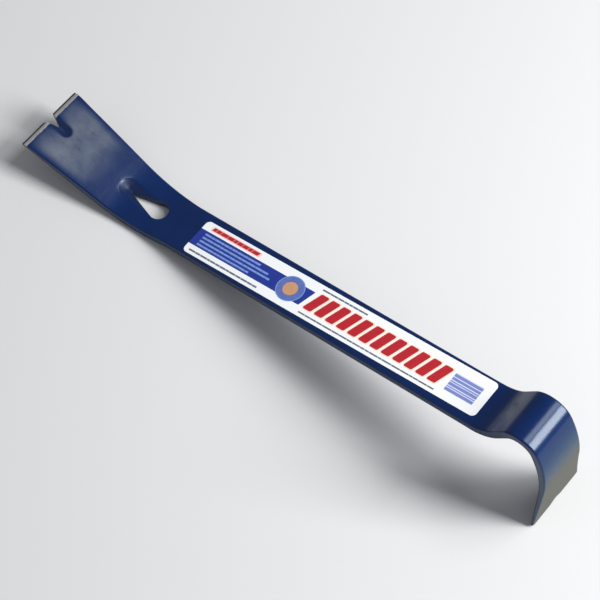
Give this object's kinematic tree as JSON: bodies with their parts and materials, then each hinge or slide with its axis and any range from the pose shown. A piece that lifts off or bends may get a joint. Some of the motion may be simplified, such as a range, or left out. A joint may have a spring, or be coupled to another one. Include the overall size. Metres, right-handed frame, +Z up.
{
  "type": "pry bar",
  "caption": "Flat pry bar bent from one steel strip, with a flared nail claw, a teardrop nail slot, a curled hook with a wide edge and a printed label on the shank.",
  "frame": {"origin": "bench level under the middle of the bar's bounding box, as it stands on the hook's edge and the heel of the claw bend", "axes": "+X from the claw tips toward the hook, +Y across the width, +Z up with the label face up"},
  "size_m": [0.3852, 0.048, 0.0788],
  "materials": {
    "bar_paint": "gloss dark blue enamel over forged spring steel, ground bare along the claw tips and the hook's edge",
    "label_film": null
  },
  "bodies": {
    "root": {"bar": "bar_paint", "label": "label_film"}
  },
  "joints": []
}
